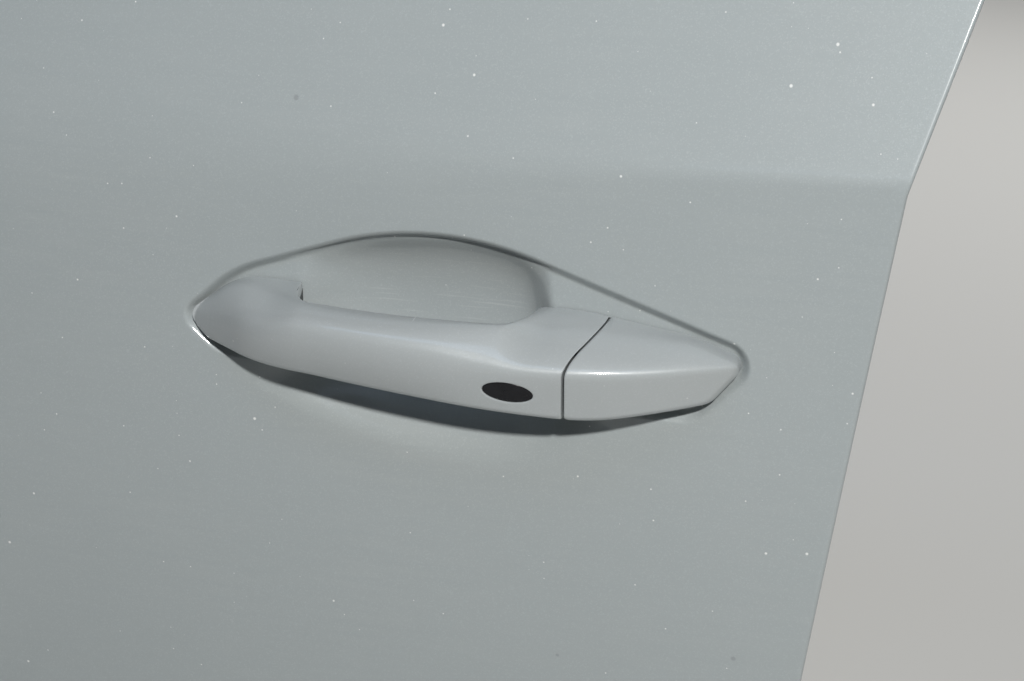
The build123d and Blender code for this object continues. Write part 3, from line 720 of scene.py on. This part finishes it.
def bump(tree, height, strength, distance, normal=None):
    feeds = {"Height": height, "Strength": strength, "Distance": distance}
    if normal is not None:
        feeds["Normal"] = normal
    return node(tree, "Bump", feeds).outputs["Normal"]


def flakeGroup(glintFrom=0.8):
    # metal flakes: a slightly tilted normal in each small cell, and a few cells marked for a painted glint
    group, given, wanted = newGroup("paintFlake", {"Vector": "Vector", "Scale": "Float", "Tilt": "Float"},
                                    {"Glint": "Float", "Normal": "Vector"})
    cells = node(group, "TexVoronoi", {"Vector": given["Vector"], "Scale": given["Scale"]}).outputs
    centred = vectorCalc(group, "SUBTRACT", {0: cells["Color"], 1: (0.5, 0.5, 0.5)})
    tilt = vectorCalc(group, "SCALE", {0: centred, "Scale": given["Tilt"]})
    both = vectorCalc(group, "ADD", {0: node(group, "NewGeometry").outputs["Normal"], 1: tilt})
    feed(group, wanted["Glint"], remap(group, parts(group, "Color", cells["Color"])[0], glintFrom, 1.0))
    feed(group, wanted["Normal"], vectorCalc(group, "NORMALIZE", {0: both}))
    return group


# each kind of speck: cells in a metre, radius over cell, share of the cells that hold one
speckKinds = {"fine": (150, 0.065, 0.055), "larger": (62, 0.05, 0.07), "dark": (26, 0.055, 0.045)}


def dustGroup(leastSize=0.35, soft=0.55):
    # dried specks, laid out in the front view
    group, given, wanted = newGroup("roadDust", {"Vector": "Vector", "Amount": "Float"},
                                    {"Mask": "Float", "Dark": "Float"})
    place = parts(group, "XYZ", given["Vector"])
    flat = node(group, "CombineXYZ", {0: place[0], 1: place[2]}).outputs[0]
    masks = {}
    for name, (scale, radius, share) in speckKinds.items():
        cells = node(group, "TexVoronoi", {"Vector": flat, "Scale": scale}, voronoi_dimensions="2D").outputs
        pick = parts(group, "Color", cells["Color"])
        size = remap(group, pick[1], 0.0, 1.0, radius * leastSize, radius)
        spot = remap(group, calc(group, "DIVIDE", cells["Distance"], size), 1.0, soft)
        masks[name] = times(group, spot, calc(group, "LESS_THAN", pick[0], share))
    pale = calc(group, "MAXIMUM", masks["fine"], masks["larger"])
    feed(group, wanted["Mask"], times(group, pale, given["Amount"]))
    feed(group, wanted["Dark"], masks["dark"])
    return group


def filmGroup():
    # uneven film of haze and wiped streaks, as a share of haze and a change of tone
    group, given, wanted = newGroup("hazeFilm", {"Vector": "Vector"}, {"Haze": "Float", "Tone": "Float"})
    patches = noise(group, given["Vector"], 14.0, 3.0)
    streaks = noise(group, stretched(group, given["Vector"], (6.0, 6.0, 60.0), (0, 0.12, 0)), 4.0, 4.0)
    unwiped = remap(group, streaks, 0.3, 0.7)
    feed(group, wanted["Haze"], times(group, remap(group, patches, 0.3, 0.75), unwiped))
    feed(group, wanted["Tone"], remap(group, streaks, 0.25, 0.75, -1.0, 1.0))
    return group


# in metres: the middle of an oval in x and z, one over its half sizes, and the depths in y over which
# the marks set in; each run has a turn in radians and a shift of its pattern
nailMarks = {
    "middle": (-0.018, 0.006), "over": (22.0, 34.0), "depth": (0.006, 0.012), "scale": (28.0, 28.0, 900.0),
    "runs": ((0.25, 0.0), (-0.5, 3.7), (1.1, 8.1)), "shown": (0.70, 0.76),
}


def scratchGroup():
    # fine nail marks in the bowl
    group, given, wanted = newGroup("nailMarks", {"Vector": "Vector"}, {"Mask": "Float"})
    most = 0.0
    for turn, shift in nailMarks["runs"]:
        along = stretched(group, given["Vector"], nailMarks["scale"], (0, turn, 0))
        moved = vectorCalc(group, "ADD", {0: along, 1: (shift, shift, shift)})
        lines = remap(group, noise(group, moved, 1.0, 1.0), *nailMarks["shown"])
        most = calc(group, "MAXIMUM", most, lines)
    place = parts(group, "XYZ", given["Vector"])
    squares = []
    for axis, middle, over in zip((place[0], place[2]), nailMarks["middle"], nailMarks["over"]):
        off = times(group, calc(group, "SUBTRACT", axis, middle), over)
        squares.append(times(group, off, off))
    here = times(group, remap(group, calc(group, "ADD", *squares), 1.0, 0.5),
                 remap(group, place[1], *nailMarks["depth"]))
    feed(group, wanted["Mask"], times(group, most, here))
    return group


def grainGroup():
    # height of a fine moulded grain, and where its scuffs are
    group, given, wanted = newGroup("mouldGrain", {"Vector": "Vector", "Scale": "Float"},
                                    {"Height": "Float", "Scuff": "Float"})
    cells = node(group, "TexVoronoi", {"Vector": given["Vector"], "Scale": given["Scale"]}).outputs
    rubbed = noise(group, stretched(group, given["Vector"], (40, 160, 90)), 1.0, 4.0)
    feed(group, wanted["Height"], cells["Distance"])
    feed(group, wanted["Scuff"], remap(group, rubbed, 0.52, 0.72))
    return group


flake, dust, film, scratch, grain = flakeGroup(), dustGroup(), filmGroup(), scratchGroup(), grainGroup()


def newMaterial(name, **constants):
    made = bpy.data.materials.new(name)
    made.use_nodes = True
    tree = made.node_tree
    inputs = tree.nodes["Principled BSDF"].inputs
    for key, value in constants.items():
        inputs[key].default_value = value
    return made, tree, inputs, tree.nodes.new("ShaderNodeTexCoord").outputs["Object"]


def paintMaterial(name, look):
    # silver base with flakes under a clear coat, a painted glint on a few flakes, dust and haze on top
    made, tree, inputs, where = newMaterial(name, **look["shader"])
    flakes = use(tree, flake, Vector=where, Scale=look["flakeScale"], Tilt=look["flakeTilt"])
    specks = use(tree, dust, Vector=where, Amount=look["dust"])
    haze = use(tree, film, Vector=where)
    marks = use(tree, scratch, Vector=where)["Mask"]
    # the glinting flake cells are a painted highlight: there the base colour is mixed towards a lighter one
    base = mixColor(tree, times(tree, flakes["Glint"], look["glint"]), look["color"], look["glintColor"])
    base = mixColor(tree, times(tree, haze["Haze"], look["haze"]), base, look["hazeColor"])
    base = mixColor(tree, times(tree, specks["Dark"], look["dark"]), base, look["darkColor"])
    base = mixColor(tree, specks["Mask"], base, look["dustColor"])
    base = mixColor(tree, times(tree, marks, look["marks"]), base, look["dustColor"])
    feed(tree, inputs["Base Color"], base)
    rough = calc(tree, "ADD", times(tree, haze["Tone"], look["uneven"]), look["rough"])
    rough = calc(tree, "ADD", rough, times(tree, specks["Mask"], look["dustRough"]))
    feed(tree, inputs["Roughness"], rough)
    bare = calc(tree, "SUBTRACT", look["metal"], times(tree, specks["Mask"], look["metal"]))
    feed(tree, inputs["Metallic"], bare)
    feed(tree, inputs["Normal"], flakes["Normal"])
    hazeDulls, marksDull = times(tree, haze["Haze"], look["hazeDulls"]), times(tree, marks, look["marksDull"])
    coat = calc(tree, "SUBTRACT", 1.0, calc(tree, "ADD", hazeDulls, marksDull))
    feed(tree, inputs["Coat Weight"], coat)
    peel = noise(tree, where, look["peelScale"], 2.0)
    feed(tree, inputs["Coat Normal"], bump(tree, peel, look["peel"], look["peelDepth"]))
    return made


def plainMaterial(name, look):
    # moulded or cast piece: softened edges, grain, scuffs and a little uneven tone
    made, tree, inputs, where = newMaterial(name, **look["shader"])
    texture = use(tree, grain, Vector=where, Scale=look["scale"])
    patch = noise(tree, where, look["patch"], 3.0)
    tone = mixColor(tree, remap(tree, patch, 0.35, 0.65), look["color"], look["second"])
    scuffed = times(tree, texture["Scuff"], look["scuff"])
    feed(tree, inputs["Base Color"], mixColor(tree, scuffed, tone, look["scuffColor"]))
    low, high = look["rough"] - look["smoother"], look["rough"] + look["rougher"]
    feed(tree, inputs["Roughness"], remap(tree, patch, 0.3, 0.7, low, high))
    edge = node(tree, "Bevel", {"Radius": look["edge"]}, samples=4).outputs["Normal"]
    feed(tree, inputs["Normal"], bump(tree, texture["Height"], look["grain"], look["grainDepth"], edge))
    return made


skinLook = {
    # the lighter colour mixed into the glinting flake cells is a painted highlight
    "color": (0.33, 0.362, 0.365, 1), "glintColor": (0.62, 0.65, 0.66, 1), "glint": 0.12, "flakeScale": 2400.0,
    "flakeTilt": 0.05, "rough": 0.42, "metal": 0.03, "uneven": 0.02,
    "dust": 0.8, "dustColor": (0.78, 0.78, 0.76, 1), "dustRough": 0.4,
    "dark": 0.35, "darkColor": (0.16, 0.165, 0.165, 1),
    "haze": 0.10, "hazeColor": (0.46, 0.465, 0.455, 1), "hazeDulls": 0.3, "marks": 0.08, "marksDull": 0.5,
    "peelScale": 260.0, "peel": 0.06, "peelDepth": 0.0004,
    "shader": {"Coat Roughness": 0.1, "Coat IOR": 1.45, "Specular IOR Level": 0.15},
}
handleLook = {
    **skinLook, "color": (0.38, 0.405, 0.408, 1), "dust": 0.35, "haze": 0.06, "peel": 0.04, "metal": 0.08,
}
# color and second mix in patches; patch and scale say how fine the patches and the grain are
nylonLook = {
    "color": (0.022, 0.022, 0.023, 1), "second": (0.032, 0.032, 0.033, 1),
    "scuffColor": (0.09, 0.09, 0.09, 1), "scuff": 0.35,
    "scale": 1500.0, "patch": 60.0, "rough": 0.55, "edge": 0.0006, "grain": 0.35,
    "smoother": 0.06, "rougher": 0.08, "grainDepth": 0.0003, "shader": {},
}
rubberLook = {
    **nylonLook, "color": (0.018, 0.018, 0.018, 1), "second": (0.026, 0.026, 0.025, 1), "rough": 0.78,
    "scale": 2200.0, "edge": 0.0003,
}
lensLook = {
    **nylonLook, "color": (0.008, 0.008, 0.009, 1), "second": (0.012, 0.012, 0.014, 1), "scuff": 0.05,
    "rough": 0.16, "grain": 0.02, "patch": 120.0, "edge": 0.0002, "shader": {"Specular IOR Level": 0.3},
}
zincLook = {
    "color": (0.56, 0.56, 0.54, 1), "second": (0.66, 0.66, 0.62, 1), "scuffColor": (0.42, 0.40, 0.36, 1),
    "scuff": 0.5, "scale": 900.0, "patch": 240.0, "rough": 0.36, "edge": 0.0004, "grain": 0.12,
    "smoother": 0.06, "rougher": 0.08, "grainDepth": 0.0003, "shader": {"Metallic": 1.0},
}
castLook = {
    **zincLook, "color": (0.40, 0.40, 0.41, 1), "second": (0.48, 0.48, 0.48, 1), "rough": 0.5, "grain": 0.3,
    "scale": 1300.0,
}
springLook = {
    **zincLook, "color": (0.26, 0.25, 0.24, 1), "second": (0.36, 0.34, 0.32, 1), "rough": 0.32, "grain": 0.06,
}
acetalLook = {
    **nylonLook, "color": (0.66, 0.65, 0.60, 1), "second": (0.72, 0.71, 0.67, 1), "scuff": 0.3,
    "scuffColor": (0.45, 0.43, 0.38, 1), "rough": 0.42, "grain": 0.12,
    "shader": {"Subsurface Weight": 0.05, "Subsurface Scale": 0.001},
}
skinPaint = paintMaterial("silverSkinPaint", skinLook)
handlePaint = paintMaterial("silverHandlePaint", handleLook)
plain = {name: plainMaterial(name, look) for name, look in (
    ("blackNylon", nylonLook), ("padRubber", rubberLook), ("lensBlack", lensLook), ("zincSteel", zincLook),
    ("dieCast", castLook), ("springSteel", springLook), ("naturalAcetal", acetalLook))}

skinPiece.data.materials.append(skinPaint)
for piece in (gripPiece, capPiece):
    piece.data.materials.append(handlePaint)
lensPiece.data.materials.append(plain["lensBlack"])
nodesOf = {
    "blackNylon": ("carrier", "grip_base"), "padRubber": ("gasket_front", "gasket_rear"),
    "zincSteel": ("carrier_screws", "crank_pin", "pivot_pin", "lock_paddle", "counterweight"),
    "dieCast": ("lock_housing", "lock_barrel"), "naturalAcetal": ("bell_crank", "claw_roller"),
}
for finish, names in nodesOf.items():
    for name in names:
        slots = nodes[name].data.materials
        slots.clear()
        slots.append(plain[finish])
print("finishes:", len(bpy.data.materials), "materials")


def grown(name, group, values):
    # a piece built by a node tree, its inputs set by identifier, kept as a plain mesh
    host = bpy.data.objects.new(name + "Host", bpy.data.meshes.new(name + "Host"))
    bpy.context.scene.collection.objects.link(host)
    modifier = host.modifiers.new("build", "NODES")
    modifier.node_group = group
    for item in group.interface.items_tree:
        if item.in_out == "INPUT":
            modifier[item.identifier] = values[item.name]
    finished = host.evaluated_get(bpy.context.evaluated_depsgraph_get())
    made = bpy.data.objects.new(name, bpy.data.meshes.new_from_object(finished))
    host.modifiers.remove(modifier)
    bpy.data.objects.remove(host)
    bpy.context.scene.collection.objects.link(made)
    return made


def joined(group, shapes, finish, target):
    # the end of each tree: one real geometry with its material
    both = node(group, "JoinGeometry")
    for shape in shapes:
        group.links.new(shape, both.inputs[0])
    real = node(group, "RealizeInstances", {0: both.outputs[0]}).outputs[0]
    feed(group, target, node(group, "SetMaterial", {"Geometry": real, "Material": finish}).outputs[0])


# in metres, by the names of the tree's inputs
spring = {
    "Turns": 3.5, "Radius": 0.0089, "Length": 0.0056, "Wire": 0.0007, "Leg": 0.008,
    "Place": (0.05905, 0.025742, -0.030057), "Finish": plain["springSteel"],
}


def coilTree(turnPoints=48, wirePoints=14):
    # wire wound round X, with a straight leg off each end
    sizes = {name: "Float" for name in ("Turns", "Radius", "Length", "Wire", "Leg")}
    group, given, wanted = newGroup("wireCoil", {**sizes, "Place": "Vector", "Finish": "Material"},
                                    {"Geometry": "Geometry"}, "GeometryNodeTree")
    radius, length = given["Radius"], given["Length"]
    wound = {"Resolution": turnPoints, "Rotations": given["Turns"], "Start Radius": radius,
             "End Radius": radius, "Height": length}
    coil = node(group, "CurveSpiral", wound).outputs[0]
    first = node(group, "CombineXYZ", {0: radius}).outputs[0]
    last = node(group, "CombineXYZ", {0: times(group, radius, -1.0), 2: length}).outputs[0]
    ring = node(group, "CurvePrimitiveCircle", {"Resolution": wirePoints, "Radius": given["Wire"]}).outputs[0]
    runs = [coil]
    for start in (first, last):
        leg = {"Start": start, "Direction": (0, -1, 0), "Length": given["Leg"]}
        runs.append(node(group, "CurvePrimitiveLine", leg, mode="DIRECTION").outputs[0])
    tubes = []
    for run in runs:
        tube = node(group, "CurveToMesh", {0: run, 1: ring, "Fill Caps": True}).outputs[0]
        turned = node(group, "Transform", {"Geometry": tube, "Translation": given["Place"],
                                           "Rotation": (0, math.pi / 2, 0)}).outputs[0]
        tubes.append(node(group, "SetShadeSmooth", {0: turned}).outputs[0])
    joined(group, tubes, given["Finish"], wanted["Geometry"])
    return group


ribs = {
    "Cross Count": 13, "Cross Start": (-0.080, 0.0374, -0.001), "Cross Step": (0.008, 0, 0),
    "Cross Size": (0.0013, 0.0036, 0.0294),
    "Long Count": 3, "Long Start": (-0.032, 0.0374, -0.0157), "Long Step": (0, 0, 0.0147),
    "Long Size": (0.101, 0.0036, 0.0013), "Finish": plain["blackNylon"],
}


def ribTree():
    # two rows of straight ribs that cross
    sizes = {}
    for row in ("Cross", "Long"):
        sizes[row + " Count"] = "Int"
        sizes.update({row + label: "Vector" for label in (" Start", " Step", " Size")})
    group, given, wanted = newGroup("mouldedRibs", {**sizes, "Finish": "Material"}, {"Geometry": "Geometry"},
                                    "GeometryNodeTree")
    rows = []
    for row in ("Cross", "Long"):
        laid = {"Count": given[row + " Count"], "Start Location": given[row + " Start"],
                "Offset": given[row + " Step"]}
        line = node(group, "MeshLine", laid, mode="OFFSET").outputs[0]
        rib = node(group, "MeshCube", {"Size": given[row + " Size"]}).outputs[0]
        rows.append(node(group, "InstanceOnPoints", {"Points": line, "Instance": rib}).outputs[0])
    joined(group, rows, given["Finish"], wanted["Geometry"])
    return group


springPiece = grown("returnSpring", coilTree(), spring)
ribPiece = grown("carrierRibs", ribTree(), ribs)
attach(ribPiece, "root")
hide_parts("return_spring")
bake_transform(springPiece)
print("spring and ribs:", len(springPiece.data.vertices), len(ribPiece.data.vertices), "points")

# each lamp: turn to the camera's right and lift in degrees, distance, width, height, power and color
stage = {
    "floor": (0.42, 0.42, 0.41, 1), "floorRough": 0.9, "reach": 4.0,
    "world": 0.02, "worldColor": (0.86, 0.89, 0.93, 1),
    "key": {"turn": 23, "lift": 32, "far": 2.2, "cone": 44, "soft": 1.0, "radius": 0.05, "power": 212,
            "color": (1, 0.985, 0.96)},
    "lamps": {"skyOver": (-6, 58, 1.6, 1.7, 0.4, 3.6, (0.5, 0.7, 1.0)),
              "skyLow": (4, 26, 2.6, 1.1, 0.3, 0.5, (0.6, 0.76, 1.0)),
              "back": (165, 30, 1.8, 1.4, 0.9, 26, (1.0, 0.99, 0.97))},
}
reach = stage["reach"]
corners = ((-reach, -reach), (reach, -reach), (reach, reach), (-reach, reach))
floor = meshObject("studioFloor", [(x, y, cadBox[0][2]) for x, y in corners], [(0, 1, 2, 3)])
floorLook = {"Base Color": stage["floor"], "Roughness": stage["floorRough"]}
floor.data.materials.append(newMaterial("studioFloor", **floorLook)[0])

world = bpy.data.worlds.new("studioWorld")
bpy.context.scene.world = world
world.use_nodes = True
background = world.node_tree.nodes["Background"].inputs
background["Color"].default_value = stage["worldColor"]
background["Strength"].default_value = stage["world"]


def outOf(turn, lift):
    # unit vector out of the origin, at a turn to the right of the front and a lift
    (c, s), (level, rise) = cosSin(turn), cosSin(lift)
    return Vector((s * level, -c * level, rise))


def placed(name, data, away, spot):
    # a lamp or camera that looks back along the vector away
    made = bpy.data.objects.new(name, data)
    bpy.context.scene.collection.objects.link(made)
    made.location = spot
    made.rotation_euler = (-away).to_track_quat("-Z", "Y").to_euler()
    return made


def lampObject(name, kind, turn, lift, far, **settings):
    lamp = bpy.data.lights.new(name + "Lamp", kind)
    for key, value in settings.items():
        setattr(lamp, key, value)
    away = outOf(turn, lift)
    placed(lamp.name, lamp, away, away * far)


key = stage["key"]
lampObject("key", "SPOT", key["turn"], key["lift"], key["far"], energy=key["power"], color=key["color"],
           spot_size=math.radians(key["cone"]), spot_blend=key["soft"], shadow_soft_size=key["radius"])
for name, (turn, lift, far, wide, high, power, color) in stage["lamps"].items():
    lampObject(name, "AREA", turn, lift, far, shape="RECTANGLE", size=wide, size_y=high, energy=power,
               color=color)

view = {"azimuth": 16.1, "elevation": 21.0, "distance": 1.0, "lens": 84.6,
        "aimRight": 0.01974, "aimUp": -0.00116}
away = outOf(view["azimuth"], view["elevation"])
right = Vector((*cosSin(view["azimuth"]), 0))
aim = right * view["aimRight"] + away.cross(right) * view["aimUp"]
camera = placed("photoCamera", bpy.data.cameras.new("photoCamera"), away, aim + away * view["distance"])
camera.data.lens = view["lens"]
bpy.context.scene.camera = camera
bpy.context.scene.view_settings.view_transform = "Standard"
print("stage:", 1 + len(stage["lamps"]), "lamps and the camera")
